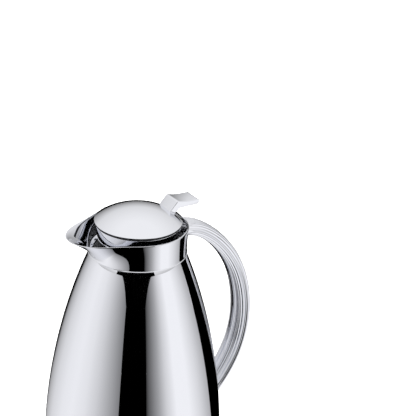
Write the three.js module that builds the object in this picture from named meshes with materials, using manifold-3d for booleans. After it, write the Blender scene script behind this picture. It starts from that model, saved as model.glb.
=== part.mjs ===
// Insulated pouring jug: a chromed shell round a vacuum flask, with a spout ring, a ribbed loop
// handle and a screw-out stopper that a thumb lever opens. Millimetres, +Z up. The origin is on the
// jug's axis, on the surface it stands on. The handle points to +X and the spout to -X.

import * as THREE from 'three';
import { mergeVertices } from 'three/addons/utils/BufferGeometryUtils.js';
import Module from 'manifold-3d';

const wasm = await Module();
wasm.setup();

// ---------------------------------------------------------------- driving dimensions
const seamHeight = 252; // floor to the seam between shell and spout ring
const bodyRadius = 70; // widest, at the belly
const bellyHeight = 85;
const footRadius = 63.5;
const mouthRadius = 37; // the shell's top edge
const shellWall = 0.6;

const fitGap = 0.3; // between pieces that touch
const runGap = 0.4; // round a piece that turns or slides

const flaskRadius = bodyRadius - 17; // outside of the glass
const flaskMouthRadius = mouthRadius - 5.4;
const glassWall = 1.3;
const vacuumGap = 3;
const flaskFloorHeight = 15; // underside of the glass
const flaskTipLength = 5; // sealing tip under it
const flaskTipRadius = 3.5;
const flaskLipDrop = 6; // lip below the seam

const ringRadius = mouthRadius + 0.5;
const ringHeight = 22; // seam to rim
const ringWall = 1.6;
const ringFlare = 0.9; // how much wider the ring is at its rim
const spoutReach = ringRadius + 22.4; // axis to spout tip, without the flare

const domeRadius = ringRadius - 3.9;
const domeRise = domeRadius * 0.3274;
const domeEdge = 25.9; // the dome's edge above the seam
const domeWall = 1.4;
const skirtFloor = 11.5; // underside of the lid's floor above the seam
const skirtWall = 2;
const skirtTaper = 1.9; // how much narrower the skirt is at its foot

const neckBore = flaskMouthRadius - 9.2;
const neckWall = 2.8;
const neckDepth = 30; // below the seam
const stopperRadius = neckBore - 1.8;
const stopperWall = 3.2;
const stopperDepth = 26; // below the seam
const seatHole = stopperRadius * 0.437;

const leverWidth = 16;
const tongueTop = 36.1; // above the seam
const tongueThickness = 4;
const earThickness = 1.6; // the lever's bracket has an ear each side of it
const earInner = leverWidth / 2 + 0.5;
const earRadius = 2.9;
const underDome = domeRadius - 4.866; // the ears' corners stay inside this radius, under the dome
const pivotX = Math.sqrt(underDome ** 2 - (earInner + earThickness) ** 2) - earRadius;
const pivotZ = 25.5; // above the seam
const leverTip = pivotX + 25.5; // axis to the end of the thumb tongue
const pinRadius = 1.5;
const stemRadius = 2.5;

const handleWidth = 20;
const handleThickness = 12;
const screwRadius = 1.9;

// ---------------------------------------------------------------- tools for the shapes

// A height given above or below the seam, as a height above the floor.
const up = (aboveSeam) => seamHeight + aboveSeam;

// Turns an outline of [radius, height] pairs round the jug's axis.
function turned(outline, segments = 28) {
  const points = outline.map(([radius, height]) => new THREE.Vector2(radius, height));
  const geometry = new THREE.LatheGeometry(points, segments);
  geometry.rotateX(Math.PI / 2);
  return geometry;
}

// A plain ring with a rectangular section.
function turnedRing(inner, outer, low, high, segments = 28) {
  return turned([[inner, low], [outer, low], [outer, high], [inner, high], [inner, low]], segments);
}

// Moves an outline sideways: a positive distance moves a rising line away from the axis.
function offsetOutline(outline, distance) {
  return outline.map(([radius, height], i) => {
    const [r0, z0] = outline[Math.max(i - 1, 0)];
    const [r1, z1] = outline[Math.min(i + 1, outline.length - 1)];
    const length = Math.hypot(r1 - r0, z1 - z0);
    const moved = radius + (distance * (z1 - z0)) / length;
    return [Math.max(moved, 0), height - (distance * (r1 - r0)) / length];
  });
}

// A round bar along X, Y or Z, centred on its middle.
function bar(radius, length, axis, x, y, z, segments = 20) {
  const geometry = new THREE.CylinderGeometry(radius, radius, length, segments);
  if (axis === 'X') geometry.rotateZ(Math.PI / 2);
  if (axis === 'Z') geometry.rotateX(Math.PI / 2);
  return geometry.translate(x, y, z);
}

// A block between two corners.
function block(low, high) {
  const size = high.map((value, i) => value - low[i]);
  const geometry = new THREE.BoxGeometry(...size);
  return geometry.translate(...low.map((value, i) => value + size[i] / 2));
}

// A side view in X and Z, made a plate of a given width centred on the XZ plane.
function sidePlate(shape, width, centreY = 0) {
  const geometry = new THREE.ExtrudeGeometry(shape, { depth: width, bevelEnabled: false, curveSegments: 6 });
  geometry.rotateX(Math.PI / 2);
  return geometry.translate(0, centreY + width / 2, 0);
}

function toSolid(geometry) {
  const bare = geometry.clone();
  bare.deleteAttribute('normal');
  bare.deleteAttribute('uv');
  const merged = mergeVertices(bare, 1e-4);
  return new wasm.Manifold(new wasm.Mesh({
    numProp: 3,
    vertProperties: merged.attributes.position.array,
    triVerts: new Uint32Array(merged.index.array),
  }));
}

function toGeometry(solid) {
  const mesh = solid.getMesh();
  const geometry = new THREE.BufferGeometry();
  geometry.setAttribute('position', new THREE.BufferAttribute(Float32Array.from(mesh.vertProperties), 3));
  geometry.setIndex(new THREE.BufferAttribute(Uint32Array.from(mesh.triVerts), 1));
  return geometry;
}

// The first geometry with the others cut out of it.
function cut(geometry, ...cutters) {
  return toGeometry(cutters.reduce((solid, cutter) => solid.subtract(toSolid(cutter)), toSolid(geometry)));
}

function joined(...geometries) {
  return toGeometry(geometries.map(toSolid).reduce((all, solid) => all.add(solid)));
}

// ---------------------------------------------------------------- materials
const finish = (color, roughness, metalness) => new THREE.MeshStandardMaterial({ color, roughness, metalness });
const chrome = finish(0xd9dadd, 0.06, 1);
const springSteel = finish(0xa9abae, 0.3, 1);
const glass = finish(0xe4eaec, 0.05, 0.6);
const darkPlastic = finish(0x1c1d1f, 0.45, 0);
const paleGreyPlastic = finish(0xb9c2cc, 0.35, 0);
const silicone = finish(0x2b2c2e, 0.7, 0);
const clearSilicone = finish(0xd7d8d4, 0.6, 0);

const jug = new THREE.Group();

function add(name, geometry, material) {
  const mesh = new THREE.Mesh(geometry, material);
  mesh.name = name;
  jug.add(mesh);
}

// ---------------------------------------------------------------- outer shell
const shellFoot = 2.5;
const shellStraight = 35; // how gently the belly turns in towards the foot
const shellSegments = 32;

// The shell's outside, from the foot up to the mouth, as one swelling line and one long shoulder.
function shellOutline() {
  const shoulder = 45;
  const shoulderSlope = 0.42;
  const belly = 60;
  const path = new THREE.Path();
  path.moveTo(footRadius, shellFoot);
  path.bezierCurveTo(
    footRadius + (bodyRadius - footRadius) * 0.6, shellFoot + 18,
    bodyRadius, bellyHeight - shellStraight,
    bodyRadius, bellyHeight,
  );
  path.bezierCurveTo(
    bodyRadius, bellyHeight + belly,
    mouthRadius + shoulderSlope * shoulder, seamHeight - shoulder,
    mouthRadius, seamHeight,
  );
  return path.getPoints(6).map((point) => [point.x, point.y]);
}

const shellLine = shellOutline();
const shellInside = offsetOutline(shellLine, -shellWall);

// The lower handle screw goes through the shell here.
const lowerScrewZ = up(-140);

// Radius of a rising outline at a height.
function radiusAt(outline, height) {
  const i = outline.findIndex(([, z]) => z >= height);
  const [r0, z0] = outline[i - 1];
  const [r1, z1] = outline[i];
  return r0 + ((r1 - r0) * (height - z0)) / (z1 - z0);
}

const shell = turned([...shellLine, ...shellInside.reverse(), shellLine[0]], shellSegments);
shellInside.reverse();
const lowerScrewHole = bar(screwRadius + fitGap, 40, 'X', bodyRadius - 10, 0, lowerScrewZ);
add('body_shell', cut(shell, lowerScrewHole), chrome);

// ---------------------------------------------------------------- base
const padRadius = 54;
const padThickness = 2.2;
const capFloor = padThickness + fitGap;
const capTop = 4.5;
const capRim = 0.6; // the cap's rim clears the table
const capWallTop = 9;
const cupRadius = 20;
const cupWall = 2;
const capInside = radiusAt(shellInside, shellInside[0][1] + 0.01) - runGap;

add('base_pad', turned([
  [0, 0],
  [padRadius - 1, 0],
  [padRadius, 0.8],
  [padRadius, padThickness],
  [0, padThickness],
]), silicone);

add('base_cap', turned([
  [0, capFloor],
  [padRadius + fitGap, capFloor],
  [padRadius + fitGap, capRim],
  [footRadius - 0.9, capRim],
  [footRadius - 0.3, capRim + 0.6],
  [footRadius - 0.3, shellFoot - fitGap],
  [capInside, shellFoot - fitGap],
  [capInside, capWallTop],
  [capInside - 2, capWallTop],
  [capInside - 2, capTop],
  [cupRadius + cupWall, capTop],
  [cupRadius + cupWall, capWallTop],
  [cupRadius, capWallTop],
  [cupRadius, capTop],
  [0, capTop],
]), darkPlastic);

// ---------------------------------------------------------------- vacuum flask
const flaskBowl = 38; // height of the rounded bottom
const flaskLip = up(-flaskLipDrop);

// The glass's outside, from the axis at the bottom up to the lip.
function flaskOutline() {
  const path = new THREE.Path();
  path.absellipse(0, flaskFloorHeight + flaskBowl, flaskRadius, flaskBowl, -Math.PI / 2, 0, false);
  path.lineTo(flaskRadius, bellyHeight + 35);
  path.bezierCurveTo(
    flaskRadius, bellyHeight + 75,
    flaskMouthRadius + 20, flaskLip - 50,
    flaskMouthRadius, flaskLip - 10,
  );
  path.lineTo(flaskMouthRadius, flaskLip - 2);
  return path.getPoints(4).map((point) => [point.x, point.y]);
}

const flaskOutside = flaskOutline();
const outerWallInside = offsetOutline(flaskOutside, -glassWall);
const innerWallOutside = offsetOutline(flaskOutside, -glassWall - vacuumGap);
const flaskInside = offsetOutline(flaskOutside, -2 * glassWall - vacuumGap);
const flaskMouthInside = flaskMouthRadius - 2 * glassWall - vacuumGap;
const tipHole = 1.5;
const beyondTip = (line) => line.filter(([radius]) => radius > flaskTipRadius + 0.2);
const tipBottom = flaskFloorHeight - flaskTipLength;

// One piece of glass: both walls, the rolled lip between them and the open tip it is emptied through.
add('glass_flask', turned([
  ...innerWallOutside,
  ...beyondTip(outerWallInside).reverse(),
  [tipHole, flaskFloorHeight + glassWall],
  [tipHole, tipBottom],
  [flaskTipRadius, tipBottom],
  [flaskTipRadius, flaskFloorHeight],
  ...beyondTip(flaskOutside),
  [flaskMouthRadius - 0.6, flaskLip - 0.8],
  [flaskMouthRadius - 1.9, flaskLip],
  [flaskMouthInside + 1.9, flaskLip],
  [flaskMouthInside + 0.6, flaskLip - 0.8],
  ...flaskInside.reverse(),
], 20), glass);

// The cushion in the cap's cup that the flask stands on.
const cushionRadius = cupRadius - fitGap;
const cushionHole = flaskTipRadius + 1.5;
const bowlAt = (radius) =>
  flaskFloorHeight + flaskBowl * (1 - Math.sqrt(1 - (radius / flaskRadius) ** 2)) - fitGap;
add('flask_cushion', turned([
  [cushionHole, capTop + fitGap],
  [cushionRadius, capTop + fitGap],
  [cushionRadius, bowlAt(cushionRadius)],
  [12, bowlAt(12) - 0.2],
  [cushionHole, bowlAt(cushionHole) - 0.2],
  [cushionHole, capTop + fitGap],
]), clearSilicone);

// ---------------------------------------------------------------- neck
const neckOuter = neckBore + neckWall;
const flangeLow = up(-3.4);
const flangeHigh = up(-0.7);
const ringFootInner = mouthRadius - 3.4;
const ringFootOuter = mouthRadius - shellWall - runGap;
const gasketInner = flaskMouthInside + 0.4;
const gasketOuter = flaskMouthRadius - 0.4;

add('neck_gasket', turnedRing(gasketInner, gasketOuter, flaskLip + fitGap, flangeLow - fitGap), silicone);

add('neck_insert', turned([
  [neckBore, up(-neckDepth)],
  [neckOuter, up(-neckDepth)],
  [neckOuter, flangeLow],
  [ringFootOuter, flangeLow],
  [ringFootOuter, flangeHigh],
  [ringFootInner - fitGap, flangeHigh],
  [ringFootInner - fitGap, up(2.6)],
  [neckBore + 1.6, up(1.6)],
  [neckBore, up(0.6)],
  [neckBore, up(-neckDepth)],
], 32), darkPlastic);

// ---------------------------------------------------------------- spout ring
const upperScrewZ = up(11.5);
const spoutSpread = THREE.MathUtils.degToRad(100); // the spout reaches this far round each way
const spoutPoint = 4; // higher for a more pointed lip

// How far the rim stands outside its circle, at an angle from the spout's direction.
function spoutReachOut(angle) {
  if (Math.abs(angle) >= spoutSpread) return 0;
  const swell = (1 + Math.cos((Math.PI * angle) / spoutSpread)) / 2;
  return (spoutReach - ringRadius) * swell ** spoutPoint;
}

// How late the wall starts to lean out as it climbs: above 1, the spout is hollow underneath.
function spoutHollow(angle) {
  const spoutSides = THREE.MathUtils.degToRad(55);
  return 1.4 + 1.4 * Math.min(1, Math.abs(angle) / spoutSides) ** 2;
}

// The ring's wall from one height to another, opening a little like a trumpet towards the rim.
function flaredWall(radius, low, high, steps = 4) {
  return Array.from({ length: steps + 1 }, (_, i) => {
    const height = low + ((high - low) * i) / steps;
    return [radius + ringFlare * (height / ringHeight) ** 2.5, up(height)];
  });
}

// A turned ring whose wall is then drawn out into the spout, more and more towards the rim.
function spoutRing() {
  const inner = ringRadius - ringWall;
  const geometry = turned([
    [ringFootInner, up(-0.4)],
    [ringFootOuter, up(-0.4)],
    [ringFootOuter, up(fitGap)],
    [ringRadius + 0.9, up(fitGap)],
    [ringRadius + 1.1, up(0.6)],
    [ringRadius + 0.2, up(1.1)],
    ...flaredWall(ringRadius, 1.4, ringHeight - 0.6),
    [ringRadius + ringFlare - 0.4, up(ringHeight)],
    [inner + ringFlare + 0.3, up(ringHeight)],
    ...flaredWall(inner, 4.6, ringHeight - 0.8).reverse(),
    [ringFootInner, up(3.2)],
    [ringFootInner, up(-0.4)],
  ], 48);
  const position = geometry.attributes.position;
  const spoutStart = up(2);
  for (let i = 0; i < position.count; i += 1) {
    const x = position.getX(i);
    const y = position.getY(i);
    const angle = Math.atan2(y, -x);
    const climb = Math.max(0, (position.getZ(i) - spoutStart) / (up(ringHeight) - spoutStart));
    const reach = 1 + (spoutReachOut(angle) * climb ** spoutHollow(angle)) / Math.hypot(x, y);
    position.setXY(i, x * reach, y * reach);
  }
  return geometry;
}

const upperScrewHole = bar(screwRadius + fitGap, 20, 'X', ringRadius, 0, upperScrewZ);
add('spout_ring', cut(spoutRing(), upperScrewHole), chrome);

// ---------------------------------------------------------------- handle
// The handle's middle line: out from the ring, over a wide bend and back in to the belly.
const handleReach = Math.max(ringRadius + 62.5, bodyRadius + 30);
const handleFoot = radiusAt(shellLine, up(-150));
const handleLine = new THREE.CatmullRomCurve3([
  new THREE.Vector3(ringRadius - 4, 0, up(12.6)),
  new THREE.Vector3(ringRadius + 15, 0, up(8.8)),
  new THREE.Vector3(handleReach - 26.5, 0, up(-7)),
  new THREE.Vector3(handleReach - 8.5, 0, up(-33)),
  new THREE.Vector3(handleReach, 0, up(-65)),
  new THREE.Vector3(handleReach - 1.5, 0, up(-95)),
  new THREE.Vector3(handleReach - 12.5, 0, up(-123)),
  new THREE.Vector3(handleFoot - 4, 0, up(-150)),
]);

// The section is a full oval, wider than it is thick, with nearly flat sides where the ribs run.
function handleSection() {
  const halfWidth = handleWidth / 2;
  const halfThickness = handleThickness / 2;
  const flat = halfThickness * 0.35;
  const shape = new THREE.Shape();
  shape.moveTo(halfWidth, -flat);
  shape.lineTo(halfWidth, flat);
  shape.quadraticCurveTo(halfWidth * 0.85, halfThickness, 0, halfThickness);
  shape.quadraticCurveTo(-halfWidth * 0.85, halfThickness, -halfWidth, flat);
  shape.lineTo(-halfWidth, -flat);
  shape.quadraticCurveTo(-halfWidth * 0.85, -halfThickness, 0, -halfThickness);
  shape.quadraticCurveTo(halfWidth * 0.85, -halfThickness, halfWidth, -flat);
  return shape;
}

const handleBar = new THREE.ExtrudeGeometry(handleSection(), {
  steps: 24,
  extrudePath: handleLine,
  curveSegments: 3,
});
const ringSpace = turned([
  [0, up(-6)],
  [ringRadius + 1.3 + fitGap, up(-6)],
  [ringRadius + 1.3 + fitGap, up(1.4)],
  ...flaredWall(ringRadius + fitGap, 1.6, ringHeight),
  [ringRadius + ringFlare + fitGap, up(ringHeight + 5)],
  [0, up(ringHeight + 5)],
], 72);
const shellSpace = turned([[0, shellFoot], ...offsetOutline(shellLine, fitGap), [0, seamHeight]], shellSegments);
const upperScrewLength = 18;
const lowerScrewLength = 10;
const headHeight = 2.2;
const headRadius = 4;
const headCurve = headRadius ** 2 / ringRadius; // how far the round walls bend away under a head
const upperHeadX = ringRadius - ringWall - headHeight - fitGap - headCurve;
const lowerHeadX = radiusAt(shellInside, lowerScrewZ + headRadius) - headHeight - fitGap - headCurve;
const screwRoom = 1; // past a screw's end

// Pieces lying along +X through the axis: a screw, or the space that it needs.
function screwAlongX(headX, z, length) {
  const head = bar(headRadius, headHeight, 'X', headX + headHeight / 2, 0, z);
  const shank = bar(screwRadius, length, 'X', headX + headHeight + length / 2 - 0.1, 0, z);
  const slot = block([headX - 1, -0.6, z - 2.4], [headX + 1, 0.6, z + 2.4]);
  return cut(joined(head, shank), slot);
}

function screwSpaceAlongX(headX, z, length) {
  const reach = headHeight + length + screwRoom;
  return bar(screwRadius + fitGap, reach, 'X', headX + reach / 2, 0, z);
}

add('handle', cut(
  handleBar,
  ringSpace,
  shellSpace,
  screwSpaceAlongX(upperHeadX, upperScrewZ, upperScrewLength),
  screwSpaceAlongX(lowerHeadX, lowerScrewZ, lowerScrewLength),
), chrome);
add('handle_screw_upper', screwAlongX(upperHeadX, upperScrewZ, upperScrewLength), springSteel);
add('handle_screw_lower', screwAlongX(lowerHeadX, lowerScrewZ, lowerScrewLength), springSteel);

// ---------------------------------------------------------------- lid shell
const domeSphere = (domeRadius ** 2 + domeRise ** 2) / (2 * domeRise);
const domeTop = up(domeEdge + domeRise);
const domeCentre = domeTop - domeSphere;
const domeLip = 0.6; // how far the dome's rim reaches below its edge
const slotSide = leverWidth / 2 + fitGap * 2;
const slotFront = pivotX - 2.2;
const slotBack = pivotX + 6.4;

// Points on a dome of this radius about the dome's centre, from the top down to a height.
function domeArc(sphere, lowest, steps = 6) {
  const widest = Math.acos((lowest - domeCentre) / sphere);
  return Array.from({ length: steps + 1 }, (_, i) => {
    const angle = (widest * i) / steps;
    return [sphere * Math.sin(angle), domeCentre + sphere * Math.cos(angle)];
  });
}

const domeShell = turned([
  ...domeArc(domeSphere - domeWall, up(domeEdge - domeLip)),
  [domeRadius - 0.2, up(domeEdge - domeLip)],
  ...domeArc(domeSphere, up(domeEdge)).reverse(),
], 36);
const leverSlot = block([slotFront, -slotSide, up(domeEdge - 2)], [slotBack, slotSide, up(domeEdge + domeRise)]);
add('dome_cover', cut(domeShell, leverSlot), chrome);

const sealTop = up(domeEdge - domeLip - fitGap);
const sealThickness = 0.9;
add('dome_seal_ring', turnedRing(domeRadius - 3.2, domeRadius - 0.5, sealTop - sealThickness, sealTop, 36), silicone);

const skirtTop = sealTop - sealThickness - fitGap;
const skirtOuter = domeRadius - 0.8;
const floorTop = up(skirtFloor + skirtWall);
const guideBore = stemRadius + runGap;
const guideWall = 2.5;
const smallScrew = 1.2;
const smallScrewHole = smallScrew + fitGap;
const smallHead = 2.3;
const smallHeadHeight = 1.4;

// Small screws on the lid's floor: three hold the stopper and two hold the lever's bracket.
const stopperScrewCircle = stopperRadius + 3.2;
const stopperScrewPlaces = [60, 180, 300].map((degrees) => {
  const angle = THREE.MathUtils.degToRad(degrees);
  return [stopperScrewCircle * Math.cos(angle), stopperScrewCircle * Math.sin(angle)];
});
const bracketScrewPlaces = [[pivotX - 4.6, 4.6], [pivotX - 4.6, -4.6]];
const stopperFlangeTop = up(skirtFloor) - fitGap;
const stopperFlangeLow = stopperFlangeTop - 2.4;
const stopperFlangeRadius = stopperRadius + 6.4;

const lidBase = turned([
  [guideBore, up(skirtFloor - 4)],
  [guideBore + guideWall, up(skirtFloor - 4)],
  [guideBore + guideWall, up(skirtFloor)],
  [skirtOuter - skirtTaper - 0.7, up(skirtFloor)],
  [skirtOuter - skirtTaper, up(skirtFloor + 0.7)],
  [skirtOuter, skirtTop],
  [skirtOuter - skirtWall, skirtTop],
  [skirtOuter - skirtTaper - skirtWall, floorTop],
  [guideBore + guideWall, floorTop],
  [guideBore + guideWall, floorTop + 2.5],
  [guideBore, floorTop + 2.5],
  [guideBore, up(skirtFloor - 4)],
], 28);
const floorHoles = stopperScrewPlaces.map(([x, y]) => bar(smallScrewHole, 10, 'Z', x, y, up(skirtFloor), 12));
const bracketHoles = bracketScrewPlaces.map(([x, y]) => bar(smallScrewHole, 3, 'Z', x, y, up(skirtFloor + 2), 12));
add('lid_base', cut(lidBase, ...floorHoles, ...bracketHoles), paleGreyPlastic);

// A small screw standing on its head's underside, its shank pointing down.
function smallScrewDown(x, y, headLow, length) {
  const head = bar(smallHead, smallHeadHeight, 'Z', x, y, headLow + smallHeadHeight / 2, 14);
  const shank = bar(smallScrew, length, 'Z', x, y, headLow - length / 2 + 0.1, 12);
  const slot = block(
    [x - smallHead, y - 0.3, headLow + smallHeadHeight - 0.6],
    [x + smallHead, y + 0.3, headLow + smallHeadHeight + 0.6],
  );
  return cut(joined(head, shank), slot);
}

stopperScrewPlaces.forEach(([x, y], i) => {
  const headLow = floorTop + fitGap;
  const length = headLow - stopperFlangeLow;
  add(`stopper_screw_${i + 1}`, smallScrewDown(x, y, headLow, length), springSteel);
});

// ---------------------------------------------------------------- stopper
const stopperFloor = up(-stopperDepth);
const stopperInner = stopperRadius - stopperWall;
const seatThickness = 1.5;
const grooveLow = stopperFloor + 6;
const grooveHigh = grooveLow + 3.2;
const grooveRadius = stopperRadius - 1.4;
const ridge = 0.9; // thread ridges stand out this much
const windowLow = up(3.4);
const windowWidth = 15;

const stopperBody = turned([
  [seatHole, stopperFloor],
  [stopperRadius - 0.8, stopperFloor],
  [stopperRadius, stopperFloor + 0.8],
  [stopperRadius, grooveLow],
  [grooveRadius, grooveLow],
  [grooveRadius, grooveHigh],
  [stopperRadius, grooveHigh],
  [stopperRadius, up(-12)],
  [stopperRadius + ridge, up(-11.4)],
  [stopperRadius + ridge, up(-10.4)],
  [stopperRadius, up(-9.8)],
  [stopperRadius, up(-6)],
  [stopperRadius + ridge, up(-5.4)],
  [stopperRadius + ridge, up(-4.4)],
  [stopperRadius, up(-3.8)],
  [stopperRadius, stopperFlangeLow],
  [stopperFlangeRadius, stopperFlangeLow],
  [stopperFlangeRadius, stopperFlangeTop],
  [stopperInner, stopperFlangeTop],
  [stopperInner, stopperFloor + seatThickness],
  [seatHole, stopperFloor + seatThickness],
  [seatHole, stopperFloor],
], 24);

// Pouring windows just above the neck, with four posts left between them.
const windows = [0, 90].map((degrees) => {
  const through = block(
    [-stopperFlangeRadius, -windowWidth / 2, windowLow],
    [stopperFlangeRadius, windowWidth / 2, stopperFlangeLow - 0.6],
  );
  return through.rotateZ(THREE.MathUtils.degToRad(degrees));
});
const flangeHoles = stopperScrewPlaces.map(([x, y]) => bar(smallScrewHole, 12, 'Z', x, y, stopperFlangeTop, 12));
add('stopper_housing', cut(stopperBody, ...windows, ...flangeHoles), darkPlastic);

add('stopper_seal', turned([
  [grooveRadius + fitGap, grooveLow + fitGap],
  [neckBore - fitGap - 0.5, grooveLow + fitGap],
  [neckBore - fitGap, (grooveLow + grooveHigh) / 2],
  [neckBore - fitGap - 0.5, grooveHigh - fitGap],
  [grooveRadius + fitGap, grooveHigh - fitGap],
  [grooveRadius + fitGap, grooveLow + fitGap],
], 36), silicone);

// ---------------------------------------------------------------- valve
const seatTop = stopperFloor + seatThickness;
const gasketLow = seatTop + fitGap;
const gasketThickness = 1.9;
const plugLow = gasketLow + gasketThickness + fitGap;
const plugThickness = 3.1;
const plugRadius = seatHole + 4.5;
const plugTop = plugLow + plugThickness;
const collarLow = plugTop + fitGap;
const stemTop = up(pivotZ + 2); // where the lever's fork ends
const headUnderside = stemTop + fitGap;
const nutHeight = 2;
const nutRadius = 5;
const spigot = 1.7;

add('valve_stem', turned([
  [0, stopperFloor + 0.2],
  [stemRadius - 0.4, stopperFloor + 0.2],
  [stemRadius, stopperFloor + 0.6],
  [stemRadius, collarLow],
  [stemRadius * 2, collarLow],
  [stemRadius * 2, collarLow + 1.4],
  [stemRadius, collarLow + 1.4],
  [stemRadius, stemTop],
  [spigot, stemTop],
  [spigot, headUnderside + 0.9],
  [0, headUnderside + 0.9],
], 20), springSteel);

add('stem_head', turned([
  [0, headUnderside + 1.2],
  [spigot + fitGap, headUnderside + 1.2],
  [spigot + fitGap, headUnderside],
  [5.6, headUnderside],
  [5.6, headUnderside + 1.1],
  [4.8, headUnderside + 1.8],
  [0, headUnderside + 1.8],
], 24), darkPlastic);

add('valve_plug', turned([
  [stemRadius + fitGap, plugLow],
  [plugRadius, plugLow],
  [plugRadius, plugTop - 0.8],
  [plugRadius - 0.8, plugTop],
  [stemRadius + fitGap, plugTop],
  [stemRadius + fitGap, plugLow],
], 24), paleGreyPlastic);

add('valve_gasket', turnedRing(seatHole - 1, plugRadius + 0.3, gasketLow, gasketLow + gasketThickness, 24), silicone);

const nut = bar(nutRadius, nutHeight, 'Z', 0, 0, plugLow - fitGap - nutHeight / 2, 6);
const nutHole = bar(stemRadius + fitGap, nutHeight * 2, 'Z', 0, 0, plugLow - fitGap - nutHeight / 2, 20);
add('stem_nut', cut(nut, nutHole), springSteel);

// A closing spring round the stem, between the valve plug and the lid's floor.
const springWire = 0.6;
const springRadius = guideBore + guideWall + springWire + 2.4; // clear of the guide under the lid's floor
const springTurns = 6;
const springLow = plugTop + fitGap + springWire;
const springHigh = up(skirtFloor) - fitGap - springWire;

class Helix extends THREE.Curve {
  getPoint(t, target = new THREE.Vector3()) {
    const angle = t * springTurns * 2 * Math.PI;
    const height = springLow + (springHigh - springLow) * t;
    return target.set(springRadius * Math.cos(angle), springRadius * Math.sin(angle), height);
  }
}

const wire = new THREE.Shape();
wire.absarc(0, 0, springWire, 0, 2 * Math.PI, false);
add('return_spring', new THREE.ExtrudeGeometry(wire, {
  steps: springTurns * 10,
  extrudePath: new Helix(),
  curveSegments: 3,
}), springSteel);

// ---------------------------------------------------------------- lever
const hubRadius = 3.4;
const armHalf = 6;
const armLow = pivotZ - 0.9;
const armHigh = pivotZ + 2;
const forkEnd = -1.2;
const forkHalf = stemRadius + 0.5;
const neckBack = 0.85; // the neck's back, behind the 45 degree line through the pivot

// The side view of the thumb tongue and its leaning neck, from the tip round to the pivot.
function leverSide() {
  const low = tongueTop - tongueThickness;
  const bendX = pivotX + (low - pivotZ) + neckBack; // where the neck meets the tongue
  const shape = new THREE.Shape();
  shape.moveTo(leverTip - 1.6, up(low));
  shape.quadraticCurveTo(leverTip, up(low), leverTip, up(low + 1.8));
  shape.quadraticCurveTo(leverTip, up(tongueTop), leverTip - 2, up(tongueTop));
  shape.quadraticCurveTo(leverTip - 13, up(tongueTop + 0.2), leverTip - 18.4, up(tongueTop + 1.8));
  shape.quadraticCurveTo(leverTip - 19.6, up(tongueTop + 2), leverTip - 20.6, up(tongueTop + 1.2));
  shape.lineTo(pivotX - 4.4, up(armHigh));
  shape.lineTo(pivotX - 6, up(armHigh));
  shape.lineTo(pivotX - 6, up(armLow));
  shape.lineTo(pivotX - 3, up(armLow));
  shape.lineTo(pivotX + 2.4, up(pivotZ + 2.4 - 1));
  shape.lineTo(bendX - 1.2, up(low - 1.2));
  shape.quadraticCurveTo(bendX, up(low), bendX + 1.6, up(low));
  shape.closePath();
  return shape;
}

const leverArm = block([forkEnd, -armHalf, up(armLow)], [pivotX - 2, armHalf, up(armHigh)]);
const forkGap = block([forkEnd - 1, -forkHalf, up(armLow - 1)], [stemRadius * 3, forkHalf, up(armHigh + 1)]);
const leverHub = bar(hubRadius, leverWidth, 'Y', pivotX, 0, up(pivotZ));
const pinBore = bar(pinRadius + fitGap, leverWidth * 2, 'Y', pivotX, 0, up(pivotZ));
add('thumb_lever', cut(
  joined(sidePlate(leverSide(), leverWidth), leverHub, leverArm),
  forkGap,
  pinBore,
), chrome);

// The bracket on the lid's floor that carries the lever's pin between its two ears.
const bracketLow = floorTop + fitGap;
const bracketThickness = 1.2;

function ear(side) {
  const inner = side * earInner;
  const outer = side * (earInner + earThickness);
  const plate = block(
    [pivotX - earRadius, Math.min(inner, outer), bracketLow],
    [pivotX + earRadius, Math.max(inner, outer), up(pivotZ)],
  );
  const round = bar(earRadius, earThickness, 'Y', pivotX, (inner + outer) / 2, up(pivotZ));
  return joined(plate, round);
}

const bracketPlate = block(
  [pivotX - 7.5, -earInner - earThickness, bracketLow],
  [pivotX + earRadius - 1, earInner + earThickness, bracketLow + bracketThickness],
);
const plateHoles = bracketScrewPlaces.map(([x, y]) => bar(smallScrewHole, 6, 'Z', x, y, bracketLow, 12));
add('lever_bracket', cut(joined(bracketPlate, ear(1), ear(-1)), pinBore, ...plateHoles), springSteel);

add('lever_pin', bar(pinRadius, 2 * (earInner + earThickness) + 1, 'Y', pivotX, 0, up(pivotZ)), springSteel);

bracketScrewPlaces.forEach(([x, y], i) => {
  const headLow = bracketLow + bracketThickness + fitGap;
  add(`bracket_screw_${i + 1}`, smallScrewDown(x, y, headLow, headLow - up(skirtFloor + 0.9)), springSteel);
});

export default jug;
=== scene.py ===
# An insulated pouring jug: mirror-chromed shell and collar, ribbed loop handle and a screw-out
# stopper under a domed lid with a thumb lever. Metres, +Z up, spout to -X and handle to +X.
import math

import bpy
from mathutils import Matrix, Vector
from mathutils.geometry import interpolate_bezier


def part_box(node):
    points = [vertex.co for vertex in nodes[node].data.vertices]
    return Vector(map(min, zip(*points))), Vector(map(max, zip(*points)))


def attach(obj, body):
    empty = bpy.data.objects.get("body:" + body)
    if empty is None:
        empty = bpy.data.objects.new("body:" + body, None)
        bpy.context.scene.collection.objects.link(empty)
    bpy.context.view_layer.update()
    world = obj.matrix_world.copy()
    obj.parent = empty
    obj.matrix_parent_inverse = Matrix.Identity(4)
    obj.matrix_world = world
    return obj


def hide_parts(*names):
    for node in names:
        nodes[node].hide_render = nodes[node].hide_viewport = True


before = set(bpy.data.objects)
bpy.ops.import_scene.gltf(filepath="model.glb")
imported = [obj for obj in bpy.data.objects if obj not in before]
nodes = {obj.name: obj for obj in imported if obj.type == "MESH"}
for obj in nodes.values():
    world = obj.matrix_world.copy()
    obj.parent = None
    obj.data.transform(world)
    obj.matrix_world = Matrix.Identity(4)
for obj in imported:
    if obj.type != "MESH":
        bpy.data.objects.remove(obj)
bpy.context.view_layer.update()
bpy.ops.object.select_all(action="DESELECT")

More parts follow.
